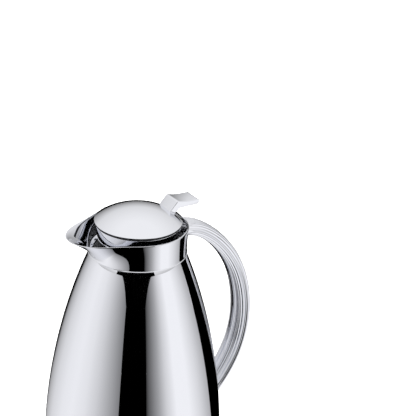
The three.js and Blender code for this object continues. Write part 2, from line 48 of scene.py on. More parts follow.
# ---------------------------------------------------------------- outer shell
# The jug's outside: stainless sheet spun over a former, then chrome plated and buffed. It drops
# over the flask and the base cap closes it from below. Its foot and mouth edges are eased.
MM = 0.001
shell_low, shell_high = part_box("body_shell")
seam = shell_high.z
foot_height = shell_low.z
belly_radius = shell_high.y
foot_radius = 63.5 * MM
mouth_radius = 37 * MM
belly_height = 85 * MM
shell_wall = 0.6 * MM


def curved(start, lean_out, lean_in, end, steps):
    """Points along one smooth bend of an outline of (radius, height) pairs."""
    corners = [Vector((radius, height, 0)) for radius, height in (start, lean_out, lean_in, end)]
    return [(point.x, point.y) for point in interpolate_bezier(*corners, steps)]


def moved_in(outline, distance):
    """The same outline moved towards the axis by a wall's thickness."""
    inner = []
    for i, (radius, height) in enumerate(outline):
        r0, z0 = outline[max(i - 1, 0)]
        r1, z1 = outline[min(i + 1, len(outline) - 1)]
        length = math.hypot(r1 - r0, z1 - z0)
        inner.append((radius - distance * (z1 - z0) / length, height + distance * (r1 - r0) / length))
    return inner


def turn_piece(name, outline, segments=128, eased=0.0, ease_angle=35):
    """Turns a closed outline: a ring on the jug's axis is pulled from point to point, each time
    scaled to the next radius. Sharp corners are then eased by a small bevel."""
    radius, height = outline[0]
    bpy.ops.mesh.primitive_circle_add(vertices=segments, radius=radius, location=(0, 0, height))
    piece = bpy.context.object
    piece.name = name
    bpy.ops.object.mode_set(mode="EDIT")
    bpy.ops.mesh.select_all(action="SELECT")
    for (r0, z0), (r1, z1) in zip(outline, outline[1:]):
        bpy.ops.mesh.extrude_edges_move(TRANSFORM_OT_translate={"value": (0, 0, z1 - z0)})
        bpy.ops.transform.resize(value=(r1 / r0, r1 / r0, 1), center_override=(0, 0, z1))
    bpy.ops.mesh.select_all(action="SELECT")
    bpy.ops.mesh.remove_doubles(threshold=0.005 * MM)
    bpy.ops.mesh.normals_make_consistent(inside=False)
    bpy.ops.object.mode_set(mode="OBJECT")
    bpy.ops.object.transform_apply(location=True, rotation=True, scale=True)
    if eased:
        apply_modifier(piece, "BEVEL", width=eased, segments=3, angle_limit=math.radians(ease_angle))
    return piece


def apply_modifier(piece, kind, **settings):
    """Adds a modifier with its settings and applies it."""
    modifier = piece.modifiers.new(kind.title(), kind)
    for setting, value in settings.items():
        setattr(modifier, setting, value)
    bpy.context.view_layer.objects.active = piece
    bpy.ops.object.modifier_apply(modifier=modifier.name)


def fit(piece, body, material, stands_for, smooth_angle=40):
    """Smooths a finished piece, gives it its finish and lets it ride on its body of the jug."""
    bpy.ops.object.select_all(action="DESELECT")
    piece.select_set(True)
    bpy.context.view_layer.objects.active = piece
    bpy.ops.object.shade_smooth_by_angle(angle=math.radians(smooth_angle))
    piece.data.materials.clear()
    piece.data.materials.append(material)
    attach(piece, body)
    if stands_for:
        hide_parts(*stands_for)
    bpy.ops.object.select_all(action="DESELECT")


def linear(colour):
    """An sRGB hex colour as the linear values that a shader takes."""
    channels = [int(colour[i:i + 2], 16) / 255 for i in (1, 3, 5)]
    return [c / 12.92 if c <= 0.04045 else ((c + 0.055) / 1.055) ** 2.4 for c in channels] + [1]


def add_node(material, kind, links=(), **settings):
    """Adds a node. Settings are its properties or its inputs; links are (output, input name)."""
    node = material.node_tree.nodes.new(kind)
    for name, value in settings.items():
        if hasattr(node, name):
            setattr(node, name, value)
        else:
            node.inputs[name.replace("_", " ")].default_value = value
    for output, name in links:
        material.node_tree.links.new(output, node.inputs[name])
    return node


def new_material(name, colour, metallic, roughness, **sockets):
    """A material with its constants set on the shader itself, and the shader node to work on."""
    material = bpy.data.materials.new(name)
    material.use_nodes = True
    shader = material.node_tree.nodes["Principled BSDF"]
    shader.inputs["Base Color"].default_value = linear(colour)
    shader.inputs["Metallic"].default_value = metallic
    shader.inputs["Roughness"].default_value = roughness
    for socket, value in sockets.items():
        shader.inputs[socket.replace("_", " ")].default_value = value
    return material, shader


def plated_chrome(name, haze_low, haze_high, wave):
    """Mirror chrome over buffed metal: a faint haze of handling where the polish is softest, and
    a very shallow wave left by the buffing wheel."""
    material, shader = new_material(name, "#e9eaee", 1.0, haze_low)
    link = material.node_tree.links.new
    place = add_node(material, "ShaderNodeTexCoord").outputs["Object"]
    smudge = add_node(material, "ShaderNodeTexNoise", [(place, "Vector")], Scale=28.0, Detail=4.0)
    haze = add_node(material, "ShaderNodeMapRange", [(smudge.outputs["Fac"], "Value")],
                    From_Min=0.45, From_Max=0.8, To_Min=haze_low, To_Max=haze_high)
    link(haze.outputs["Result"], shader.inputs["Roughness"])
    buffing = add_node(material, "ShaderNodeTexNoise", [(place, "Vector")], Scale=35.0, Detail=1.0)
    bump = add_node(material, "ShaderNodeBump", [(buffing.outputs["Fac"], "Height")],
                    Strength=0.1, Distance=wave)
    link(bump.outputs["Normal"], shader.inputs["Normal"])
    return material


sheet_chrome = plated_chrome("chrome_plated_steel_sheet", 0.02, 0.06, 0.04 * MM)

shell_outside = (
    curved((foot_radius, foot_height), (67.4 * MM, 20.5 * MM), (belly_radius, 50 * MM),
           (belly_radius, belly_height), 20)
    + curved((belly_radius, belly_height), (belly_radius, 145 * MM), (55.9 * MM, 207 * MM),
             (mouth_radius, seam), 44)[1:]
)
shell_inside = moved_in(shell_outside, shell_wall)
shell = turn_piece("outer_shell", shell_outside + shell_inside[::-1] + shell_outside[:1],
                   segments=192, eased=0.25 * MM)
fit(shell, "jug", sheet_chrome, ["body_shell"])

# ---------------------------------------------------------------- spout collar
# The cast collar over the shell's mouth: a ring that opens a little to its rim and is drawn out
# into the pouring lip, with a fine bead on the shell. Die cast, chrome plated inside and out.
collar_radius = 37.5 * MM
collar_wall = 1.6 * MM
collar_inner = collar_radius - collar_wall
collar_foot_inner = 33.6 * MM
collar_foot_outer = 35.8 * MM
collar_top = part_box("spout_ring")[1].z
rim_stand = 0.9 * MM
spout_reach = 59.9 * MM
spout_spread = math.radians(100)
spout_point = 4  # higher for a more pointed lip
spout_start = seam + 2 * MM
wall_rings = 18


def spout_pull(angle):
    """How far the rim stands outside its circle, at an angle from the spout's direction."""
    if abs(angle) >= spout_spread:
        return 0.0
    swell = (1 + math.cos(math.pi * angle / spout_spread)) / 2
    return (spout_reach - collar_radius) * swell**spout_point


def spout_hollow(angle):
    """How late the wall starts to lean out as it climbs: above 1, the spout is hollow below."""
    return 1.4 + 1.4 * min(1.0, abs(angle) / math.radians(55)) ** 2


def wall(radius, low, high):
    """The collar's wall as evenly spaced points, opening a little like a trumpet to the rim."""
    points = []
    for i in range(wall_rings + 1):
        height = low + (high - low) * i / wall_rings
        points.append((radius + rim_stand * ((height - seam) / (collar_top - seam)) ** 2.5, height))
    return points


collar_outline = [
    (collar_foot_inner, seam - 0.4 * MM),
    (collar_foot_outer, seam - 0.4 * MM),
    (collar_foot_outer, seam + 0.3 * MM),
    (collar_radius + 0.4 * MM, seam + 0.3 * MM),
    (collar_radius + 0.6 * MM, seam + 0.5 * MM),
    (collar_radius + 0.4 * MM, seam + 0.7 * MM),
    (collar_radius + 0.1 * MM, seam + 0.9 * MM),
    *wall(collar_radius, seam + 1.2 * MM, collar_top - 0.6 * MM),
    (collar_radius + rim_stand - 0.4 * MM, collar_top),
    (collar_inner + rim_stand + 0.3 * MM, collar_top),
    *wall(collar_inner, seam + 4.6 * MM, collar_top - 0.8 * MM)[::-1],
    (collar_foot_inner, seam + 3.2 * MM),
    (collar_foot_inner, seam - 0.4 * MM),
]
collar = turn_piece("spout_collar", collar_outline, segments=192, eased=0.2 * MM, ease_angle=24)
for vertex in collar.data.vertices:
    x, y, z = vertex.co
    rise = max(0.0, (z - spout_start) / (collar_top - spout_start))
    angle = math.atan2(y, -x)
    stretch = 1 + spout_pull(angle) * rise ** spout_hollow(angle) / math.hypot(x, y)
    vertex.co = (x * stretch, y * stretch, z)

cast_chrome = plated_chrome("chrome_plated_die_casting", 0.03, 0.07, 0.05 * MM)
fit(collar, "jug", cast_chrome, ["spout_ring"])

# ---------------------------------------------------------------- handle
# A loop cast in one piece from the collar over to the belly: an oval bar with lengthwise ribs
# all round it that run out before its two ends. Screwed on from inside the jug.
handle_half_width = 10 * MM
handle_half_thickness = 6 * MM
handle_corner = 2.5  # 2 would be an ellipse, more is squarer
section_points = 336
rib_count = 24
rib_slope = math.tan(math.radians(37))  # straight flanks between narrow crests and sharp valleys
rib_crest = 0.2  # how much of a rib its crest's rounding takes
rib_run_out = 9  # stations over which the ribs fade in and out
steps_between = 14
smoothing_rounds = 40
handle_stops = [(36.3, 12.1), (52.5, 8.8), (73.5, -7), (91.5, -33),
                (100, -65), (98.5, -95), (87.5, -123), (65.5, -150)]


def smooth_route(stops, steps):
    """A smooth line through the stops, each joint leaning along its two neighbours."""
    places = [Vector((x * MM, 0, seam + z * MM)) for x, z in stops]
    route = []
    for i in range(len(places) - 1):
        before = places[max(i - 1, 0)]
        a, b = places[i], places[i + 1]
        after = places[min(i + 2, len(places) - 1)]
        span = (b - a).length
        leave = (b - before).normalized() * span / 3
        arrive = (after - a).normalized() * span / 3
        route += interpolate_bezier(a, a + leave, b - arrive, b, steps + 1)[:-1]
    return route + [places[-1]]


def oval(i):
    """The i-th point of the section, as its distances through and across the bar."""
    turn = 2 * math.pi * i / section_points
    through = math.copysign(abs(math.cos(turn)) ** (2 / handle_corner), math.cos(turn))
    across = math.copysign(abs(math.sin(turn)) ** (2 / handle_corner), math.sin(turn))
    return through * handle_half_thickness, across * handle_half_width


walked = [0.0]  # the way round the section, point by point
for i in range(section_points):
    walked.append(walked[-1] + math.dist(oval(i), oval(i + 1)))
rib_pitch = walked[-1] / rib_count
route = smooth_route(handle_stops, steps_between)
for _ in range(smoothing_rounds):
    route = [route[0]] + [(a + 2 * b + c) / 4 for a, b, c in zip(route, route[1:], route[2:])] + [route[-1]]
leaning = [math.atan2((b - a).z, (b - a).x) for a, b in zip(route, route[1:])]
leaning.append(leaning[-1])
bpy.ops.mesh.primitive_circle_add(vertices=section_points, radius=handle_half_width,
                                  fill_type="NGON", location=route[0])
handle = bpy.context.object
handle.name = "handle_loop"
bpy.ops.object.transform_apply(location=True, rotation=True, scale=True)
for i, vertex in enumerate(handle.data.vertices):
    through, across = oval(i)
    vertex.co = route[0] + Vector((-math.sin(leaning[0]) * through, across,
                                   math.cos(leaning[0]) * through))
bpy.ops.object.mode_set(mode="EDIT")
bpy.ops.mesh.select_all(action="SELECT")
for here, there, lean, next_lean in zip(route, route[1:], leaning, leaning[1:]):
    bpy.ops.mesh.extrude_region_move(TRANSFORM_OT_translate={"value": there - here})
    bpy.ops.transform.rotate(value=next_lean - lean, orient_axis="Y", center_override=there)
bpy.ops.mesh.select_all(action="SELECT")
bpy.ops.mesh.normals_make_consistent(inside=False)
bpy.ops.object.mode_set(mode="OBJECT")
for vertex in handle.data.vertices:
    station, i = divmod(vertex.index, section_points)
    from_crest = 2 * (walked[i] / rib_pitch % 1) - 1
    depth = rib_slope * rib_pitch / 2 * (math.hypot(from_crest, rib_crest) - rib_crest)
    fade = min(1, station / rib_run_out, (len(route) - 1 - station) / rib_run_out)
    out = vertex.co - route[station]
    vertex.co = route[station] + out * (1 - depth * fade / out.length)


def cut_away(piece, cutter):
    """Cuts a tool shape out of a piece and throws the tool away."""
    apply_modifier(piece, "BOOLEAN", operation="DIFFERENCE", object=cutter, solver="EXACT")
    bpy.data.objects.remove(cutter)


bpy.ops.object.mode_set(mode="EDIT")
bpy.ops.mesh.select_all(action="SELECT")
bpy.ops.mesh.bisect(plane_co=(collar_inner + 0.5 * MM, 0, 0), plane_no=(1, 0, 0),
                    clear_inner=True, use_fill=True)
bpy.ops.object.mode_set(mode="OBJECT")
shell_room = turn_piece(
    "shell_room", [(0.1 * MM, foot_height)] + [(r + 0.02 * MM, z) for r, z in shell_outside]
    + [(0.1 * MM, seam), (0.1 * MM, foot_height)], segments=192)
cut_away(handle, shell_room)
fit(handle, "jug", cast_chrome, ["handle"])

# ---------------------------------------------------------------- base
# A moulded black cap closes the shell from below and carries a soft ring-grooved pad that keeps
# the jug from sliding.
base_cap_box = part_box("base_cap")
pad_radius = 54 * MM
pad_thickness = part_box("base_pad")[1].z
cap_floor = base_cap_box[0].z
cap_rim = 0.6 * MM
cap_outer = foot_radius - 0.3 * MM
cap_wall_outer = 62 * MM
pad_groove_pitch = 6 * MM
pad_groove_depth = 0.5 * MM


def moulded(name, colour, roughness, grain, grain_size, **sockets):
    """Moulded plastic or rubber: one colour with the fine even grain of an eroded mould."""
    material, shader = new_material(name, colour, 0.0, roughness, **sockets)
    place = add_node(material, "ShaderNodeTexCoord").outputs["Object"]
    speck = add_node(material, "ShaderNodeTexNoise", [(place, "Vector")],
                     Scale=1 / grain_size, Detail=3.0)
    bump = add_node(material, "ShaderNodeBump", [(speck.outputs["Fac"], "Height")],
                    Strength=0.6, Distance=grain)
    material.node_tree.links.new(bump.outputs["Normal"], shader.inputs["Normal"])
    cloud = add_node(material, "ShaderNodeTexNoise", [(place, "Vector")], Scale=40.0, Detail=2.0)
    sheen = add_node(material, "ShaderNodeMapRange", [(cloud.outputs["Fac"], "Value")],
                     To_Min=roughness * 0.85, To_Max=roughness * 1.15)
    material.node_tree.links.new(sheen.outputs["Result"], shader.inputs["Roughness"])
    return material


# Polypropylene has a half-matt sheen; silicone is duller and softer at its edges.
black_plastic = moulded("moulded_black_polypropylene", "#1b1c1e", 0.42, 0.05 * MM, 0.6 * MM)
black_silicone = moulded("moulded_black_silicone", "#232427", 0.62, 0.03 * MM, 0.8 * MM)

grooves = []
for ring in range(int(pad_radius / pad_groove_pitch) - 1, 0, -1):
    middle = ring * pad_groove_pitch
    grooves += [(middle + 0.8 * MM, 0), (middle + 0.4 * MM, pad_groove_depth),
                (middle - 0.4 * MM, pad_groove_depth), (middle - 0.8 * MM, 0)]
pad = turn_piece("foot_pad", [
    (0.1 * MM, pad_thickness),
    (pad_radius, pad_thickness),
    (pad_radius, 0.8 * MM),
    (pad_radius - 1 * MM, 0),
    *grooves,
    (0.1 * MM, 0),
    (0.1 * MM, pad_thickness),
], eased=0.15 * MM)
fit(pad, "jug", black_silicone, ["base_pad"])

cap = turn_piece("foot_cap", [
    (0.1 * MM, cap_floor),
    (pad_radius + 0.3 * MM, cap_floor),
    (pad_radius + 0.3 * MM, cap_rim),
    (cap_outer - 0.6 * MM, cap_rim),
    (cap_outer, cap_rim + 0.6 * MM),
    (cap_outer, foot_height - 0.3 * MM),
    (cap_wall_outer, foot_height - 0.3 * MM),
    (cap_wall_outer, 9 * MM),
    (cap_wall_outer - 2 * MM, 9 * MM),
    (cap_wall_outer - 2 * MM, 4.5 * MM),
    (22 * MM, 4.5 * MM),
    (22 * MM, 9 * MM),
    (20 * MM, 9 * MM),
    (20 * MM, 4.5 * MM),
    (0.1 * MM, 4.5 * MM),
    (0.1 * MM, cap_floor),
], eased=0.2 * MM)
fit(cap, "jug", black_plastic, ["base_cap"])

# ---------------------------------------------------------------- vacuum flask and neck
# Inside the shell stands a double-walled glass flask, silvered between its walls. A moulded neck
# liner sits on its lip, with a silicone gasket between, and takes the stopper's seal.
flask_low, flask_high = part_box("glass_flask")
flask_lip = flask_high.z
flask_radius = flask_high.y
flask_mouth = 31.6 * MM
flask_floor = 15 * MM
flask_bowl = 38 * MM
glass_to_glass = 5.6 * MM  # both walls and the gap between them
tip_radius = 3.5 * MM

# Blown glass over silvering: a bright metal under a clear skin, rippled by the blowing.
silvered, silvered_shader = new_material("silvered_blown_glass", "#e6e9ea", 0.92, 0.06,
                                         Coat_Weight=1.0, Coat_Roughness=0.02)
blown_place = add_node(silvered, "ShaderNodeTexCoord").outputs["Object"]
blown_wave = add_node(silvered, "ShaderNodeTexNoise", [(blown_place, "Vector")],
                      Scale=22.0, Detail=1.0)
blown_bump = add_node(silvered, "ShaderNodeBump", [(blown_wave.outputs["Fac"], "Height")],
                      Strength=0.3, Distance=0.4 * MM)
silvered.node_tree.links.new(blown_bump.outputs["Normal"], silvered_shader.inputs["Normal"])

bowl = [(flask_radius * math.sin(math.pi / 2 * i / 16),
         flask_floor + flask_bowl * (1 - math.cos(math.pi / 2 * i / 16))) for i in range(1, 17)]
shoulder = curved((flask_radius, belly_height + 35 * MM), (flask_radius, belly_height + 75 * MM),
                  (flask_mouth + 20 * MM, flask_lip - 50 * MM), (flask_mouth, flask_lip - 10 * MM), 24)
glass_outside = bowl + shoulder + [(flask_mouth, flask_lip - 2 * MM)]
glass_inside = moved_in(glass_outside[2:], glass_to_glass)
flask_mouth_inside = flask_mouth - glass_to_glass
flask = turn_piece("silvered_flask", [
    (0.2 * MM, flask_low.z),
    (tip_radius - 0.8 * MM, flask_low.z + 0.4 * MM),
    (tip_radius, flask_low.z + 2 * MM),
    (tip_radius, flask_floor),
    *glass_outside,
    (flask_mouth - 0.6 * MM, flask_lip - 0.8 * MM),
    (flask_mouth - 1.9 * MM, flask_lip),
    (flask_mouth_inside + 1.9 * MM, flask_lip),
    (flask_mouth_inside + 0.6 * MM, flask_lip - 0.8 * MM),
    *glass_inside[::-1],
    (0.2 * MM, flask_floor + glass_to_glass + 0.4 * MM),
    (0.2 * MM, flask_low.z),
], segments=96)
fit(flask, "jug", silvered, ["glass_flask"])

neck_low, neck_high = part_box("neck_insert")
neck_bore = 22.4 * MM
neck_outer = 25.2 * MM
neck = turn_piece("neck_liner", [
    (neck_bore, neck_low.z),
    (neck_outer, neck_low.z),
    (neck_outer, seam - 3.4 * MM),
    (collar_foot_outer, seam - 3.4 * MM),
    (collar_foot_outer, seam - 0.7 * MM),
    (collar_foot_inner - 0.3 * MM, seam - 0.7 * MM),
    (collar_foot_inner - 0.3 * MM, neck_high.z),
    (neck_bore + 1.6 * MM, seam + 1.6 * MM),
    (neck_bore, seam + 0.6 * MM),
    (neck_bore, neck_low.z),
], eased=0.3 * MM)
fit(neck, "jug", black_plastic, ["neck_insert"])

# ---------------------------------------------------------------- dome
# The lid's mirror dome: pressed sheet with a turned-down rim, chrome plated, with a slot at the
# back for the lever. It is bonded over the lid's skirt with a soft ring between.
dome_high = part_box("dome_cover")[1].z
dome_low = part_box("dome_cover")[0].z
dome_radius = 33.6 * MM
dome_rise = 11 * MM
dome_wall = 1.4 * MM
dome_sphere = (dome_radius**2 + dome_rise**2) / (2 * dome_rise)
dome_edge = dome_high - dome_rise
pivot_x = 24 * MM
slot_low_x = pivot_x - 2.2 * MM
slot_high_x = pivot_x + 6.4 * MM
slot_half = 8.6 * MM
rim_turn_in = 0.982  # the rim turns under a little, which draws a dark line round the dome

bpy.ops.mesh.primitive_uv_sphere_add(segments=160, ring_count=200, radius=dome_sphere,
                                     location=(0, 0, dome_high - dome_sphere))
dome = bpy.context.object
dome.name = "dome"
bpy.ops.object.mode_set(mode="EDIT")
bpy.ops.mesh.select_all(action="SELECT")
bpy.ops.mesh.bisect(plane_co=(0, 0, dome_edge), plane_no=(0, 0, 1), clear_inner=True)
bpy.ops.mesh.extrude_edges_move(TRANSFORM_OT_translate={"value": (0, 0, dome_low - dome_edge)})
bpy.ops.transform.resize(value=(rim_turn_in, rim_turn_in, 1), center_override=(0, 0, dome_low))
bpy.ops.object.mode_set(mode="OBJECT")
bpy.ops.object.transform_apply(location=True, rotation=True, scale=True)
apply_modifier(dome, "SOLIDIFY", thickness=dome_wall, offset=-1, use_even_offset=True)
apply_modifier(dome, "BEVEL", width=0.25 * MM, segments=3, angle_limit=math.radians(30))
bpy.ops.mesh.primitive_cube_add(size=1, location=((slot_low_x + slot_high_x) / 2, 0, dome_edge + 2 * MM),
                                scale=(slot_high_x - slot_low_x, 2 * slot_half, 20 * MM))
cut_away(dome, bpy.context.object)
fit(dome, "stopper", sheet_chrome, ["dome_cover"])

seal_low, seal_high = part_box("dome_seal_ring")
soft_ring = turn_piece("dome_soft_ring", [
    (dome_radius - 3.2 * MM, seal_low.z),
    (dome_radius - 0.5 * MM, seal_low.z),
    (dome_radius - 0.5 * MM, seal_high.z),
    (dome_radius - 3.2 * MM, seal_high.z),
    (dome_radius - 3.2 * MM, seal_low.z),
], eased=0.2 * MM)
fit(soft_ring, "stopper", black_silicone, ["dome_seal_ring"])

# ---------------------------------------------------------------- lid skirt
# The lid's body under the dome: a tapering skirt, a floor with screw holes and a guide for the
# valve stem. Injection moulded in ABS and chrome plated, so it looks like the metal round it.
lid_low, lid_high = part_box("lid_base")
skirt_outer = 32.8 * MM
skirt_foot = skirt_outer - 1.9 * MM
skirt_wall = 2 * MM
skirt_floor = seam + 11.5 * MM
floor_top = skirt_floor + 2 * MM
guide_bore = 2.9 * MM
guide_outer = 5.4 * MM
small_hole = 1.5 * MM

plated_abs = plated_chrome("chrome_plated_abs", 0.03, 0.08, 0.06 * MM)
lid_body = turn_piece("lid_body", [
    (guide_bore, lid_low.z),
    (guide_outer, lid_low.z),
    (guide_outer, skirt_floor),
    (skirt_foot - 0.7 * MM, skirt_floor),
    (skirt_foot, skirt_floor + 0.7 * MM),
    (skirt_outer, lid_high.z),
    (skirt_outer - skirt_wall, lid_high.z),
    (skirt_foot - skirt_wall, floor_top),
    (guide_outer, floor_top),
    (guide_outer, floor_top + 2.5 * MM),
    (guide_bore, floor_top + 2.5 * MM),
    (guide_bore, lid_low.z),
], eased=0.3 * MM)


def drill(piece, name_of_screw, hole_radius):
    """Drills a hole for a small screw right through a piece, under the screw's own place."""
    low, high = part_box(name_of_screw)
    bpy.ops.mesh.primitive_cylinder_add(vertices=32, radius=hole_radius, depth=40 * MM,
                                        location=(low + high) / 2)
    cut_away(piece, bpy.context.object)


stopper_screws = ["stopper_screw_1", "stopper_screw_2", "stopper_screw_3"]
bracket_screws = ["bracket_screw_1", "bracket_screw_2"]
for screw in stopper_screws + bracket_screws:
    drill(lid_body, screw, small_hole)
fit(lid_body, "stopper", plated_abs, ["lid_base"])

# ---------------------------------------------------------------- stopper
# The plug that screws into the neck: moulded black, with two thread ridges, a groove for its
# seal and four windows that the drink pours out of.
stopper_low, stopper_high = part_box("stopper_housing")
stopper_radius = 20.6 * MM
stopper_inner = 17.4 * MM
stopper_flange = 27 * MM
flange_low = stopper_high.z - 2.4 * MM
groove_low = stopper_low.z + 6 * MM
groove_high = groove_low + 3.2 * MM
thread_stand = 0.9 * MM
seat_hole = 9 * MM
seat_thickness = 1.5 * MM
window_low = seam + 3.4 * MM
window_width = 15 * MM

threads = []
for middle in (seam - 10.9 * MM, seam - 4.9 * MM):
    threads += [(stopper_radius, middle - 1.1 * MM), (stopper_radius + thread_stand, middle - 0.5 * MM),
                (stopper_radius + thread_stand, middle + 0.5 * MM), (stopper_radius, middle + 1.1 * MM)]
plug = turn_piece("stopper_plug", [
    (seat_hole, stopper_low.z),
    (stopper_radius - 0.8 * MM, stopper_low.z),
    (stopper_radius, stopper_low.z + 0.8 * MM),
    (stopper_radius, groove_low),
    (stopper_radius - 1.4 * MM, groove_low),
    (stopper_radius - 1.4 * MM, groove_high),
    (stopper_radius, groove_high),
    *threads,
    (stopper_radius, flange_low),
    (stopper_flange, flange_low),
    (stopper_flange, stopper_high.z),
    (stopper_inner, stopper_high.z),
    (stopper_inner, stopper_low.z + seat_thickness),
    (seat_hole, stopper_low.z + seat_thickness),
    (seat_hole, stopper_low.z),
], eased=0.2 * MM)
window_high = flange_low - 0.6 * MM  # leaves a rim under the flange
for turn in (0, 90):
    bpy.ops.mesh.primitive_cube_add(size=1, location=(0, 0, (window_low + window_high) / 2),
                                    rotation=(0, 0, math.radians(turn)),
                                    scale=(3 * stopper_flange, window_width, window_high - window_low))
    cut_away(plug, bpy.context.object)
for screw in stopper_screws:
    drill(plug, screw, small_hole)
fit(plug, "stopper", black_plastic, ["stopper_housing"])

# ---------------------------------------------------------------- thumb lever
# One casting, chrome plated: a flat thumb tongue on a leaning neck, a hub on the pin and an arm
# whose fork lifts the valve stem when the tongue is pressed.
lever_width = 16 * MM
lever_tip = 49.5 * MM
tongue_top = seam + 36.1 * MM
tongue_low = tongue_top - 4 * MM
pivot_z = seam + 25.5 * MM
hub_radius = 3.4 * MM
arm_low = pivot_z - 0.9 * MM
arm_high = pivot_z + 2 * MM
arm_half = 6 * MM
fork_end = -1.2 * MM
fork_half = 3 * MM
neck_low_x = tongue_low - seam - 0.65 * MM


def arc_points(start, corner, end, steps):
    """A rounded turn from start to end, bulging towards the corner between them."""
    points = []
    for i in range(steps + 1):
        t = i / steps
        points.append(tuple((1 - t) ** 2 * a + 2 * t * (1 - t) * b + t * t * c
                            for a, b, c in zip(start, corner, end)))
    return points


lever_side = [
    *arc_points((lever_tip - 1.8 * MM, tongue_low), (lever_tip, tongue_low),
                (lever_tip, tongue_low + 1.9 * MM), 6),
    *arc_points((lever_tip, tongue_top - 1.7 * MM), (lever_tip, tongue_top),
                (lever_tip - 2 * MM, tongue_top), 6),
    *arc_points((lever_tip - 2.6 * MM, tongue_top - 0.02 * MM),
                (lever_tip - 12 * MM, tongue_top - 0.1 * MM),
                (lever_tip - 18.4 * MM, tongue_top + 1.8 * MM), 12),
    *arc_points((lever_tip - 18.8 * MM, tongue_top + 1.9 * MM),
                (lever_tip - 19.8 * MM, tongue_top + 2.1 * MM),
                (lever_tip - 20.6 * MM, tongue_top + 1.2 * MM), 5),
    (pivot_x - 4.4 * MM, arm_high),
    (pivot_x - 6 * MM, arm_high),
    (pivot_x - 6 * MM, arm_low),
    (pivot_x - 3 * MM, arm_low),
    (pivot_x + 2.4 * MM, pivot_z + 1.4 * MM),
    *arc_points((neck_low_x - 1.2 * MM, tongue_low - 1.2 * MM), (neck_low_x, tongue_low),
                (neck_low_x + 2.2 * MM, tongue_low), 6),
]
bpy.ops.mesh.primitive_circle_add(vertices=len(lever_side), radius=lever_width, fill_type="NGON")
lever = bpy.context.object
lever.name = "lever"
for vertex, (x, z) in zip(lever.data.vertices, lever_side):
    vertex.co = (x, -lever_width / 2, z)
bpy.ops.object.mode_set(mode="EDIT")
bpy.ops.mesh.select_all(action="SELECT")
bpy.ops.mesh.extrude_region_move(TRANSFORM_OT_translate={"value": (0, lever_width, 0)})
bpy.ops.mesh.select_all(action="SELECT")
bpy.ops.mesh.normals_make_consistent(inside=False)
bpy.ops.object.mode_set(mode="OBJECT")
apply_modifier(lever, "BEVEL", width=0.7 * MM, segments=4, angle_limit=math.radians(50))

bpy.ops.mesh.primitive_cylinder_add(vertices=64, radius=hub_radius, depth=lever_width - 0.1 * MM,
                                    location=(pivot_x, 0, pivot_z), rotation=(math.pi / 2, 0, 0))
hub = bpy.context.object
apply_modifier(lever, "BOOLEAN", operation="UNION", object=hub, solver="EXACT")
bpy.data.objects.remove(hub)
bpy.ops.mesh.primitive_cube_add(
    size=1, location=((fork_end + pivot_x - 2 * MM) / 2, 0, (arm_low + arm_high) / 2),
    scale=(pivot_x - 2 * MM - fork_end, 2 * arm_half, arm_high - arm_low))
arm = bpy.context.object
bpy.ops.object.transform_apply(location=True, rotation=True, scale=True)
apply_modifier(arm, "BEVEL", width=0.4 * MM, segments=2)
apply_modifier(lever, "BOOLEAN", operation="UNION", object=arm, solver="EXACT")
bpy.data.objects.remove(arm)
bpy.ops.mesh.primitive_cube_add(size=1, location=(2.5 * MM, 0, arm_low),
                                scale=(10 * MM, 2 * fork_half, 12 * MM))
cut_away(lever, bpy.context.object)
bpy.ops.mesh.primitive_cylinder_add(vertices=48, radius=1.8 * MM, depth=2 * lever_width,
                                    location=(pivot_x, 0, pivot_z), rotation=(math.pi / 2, 0, 0))
cut_away(lever, bpy.context.object)
fit(lever, "lever", cast_chrome, ["thumb_lever"])

# ---------------------------------------------------------------- small parts from the frame
# Screws, pin, bracket, valve stem and spring are stainless steel as it comes from the machine;
# the gaskets are silicone. Their shapes are right already, so they only take their finish.
# Turned and drawn steel has fine tool marks, which break its shine into a soft sheen.
machined, machined_shader = new_material("machined_stainless_steel", "#bfc0c3", 1.0, 0.28)
steel_place = add_node(machined, "ShaderNodeTexCoord").outputs["Object"]
tool_marks = add_node(machined, "ShaderNodeTexNoise", [(steel_place, "Vector")],
                      Scale=900.0, Detail=2.0)
steel_sheen = add_node(machined, "ShaderNodeMapRange", [(tool_marks.outputs["Fac"], "Value")],
                       To_Min=0.2, To_Max=0.36)
machined.node_tree.links.new(steel_sheen.outputs["Result"], machined_shader.inputs["Roughness"])
# Moulded ABS is glossy and even; clear silicone is milky and lets a little light in.
pale_abs = moulded("moulded_pale_grey_abs", "#c3ccd6", 0.3, 0.02 * MM, 0.8 * MM)
clear_silicone = moulded("moulded_clear_silicone", "#d2d3cf", 0.5, 0.02 * MM, 0.8 * MM,
                         Subsurface_Weight=0.2)
finishes = {
    machined: ["handle_screw_upper", "handle_screw_lower", "lever_bracket", "lever_pin",
               "valve_stem", "stem_nut", "return_spring", *stopper_screws, *bracket_screws],
    black_silicone: ["neck_gasket", "stopper_seal", "valve_gasket"],
    clear_silicone: ["flask_cushion"],
    black_plastic: ["stem_head"],
    pale_abs: ["valve_plug"],
}
for material, names in finishes.items():
    for name in names:
        nodes[name].data.materials.clear()
        nodes[name].data.materials.append(material)

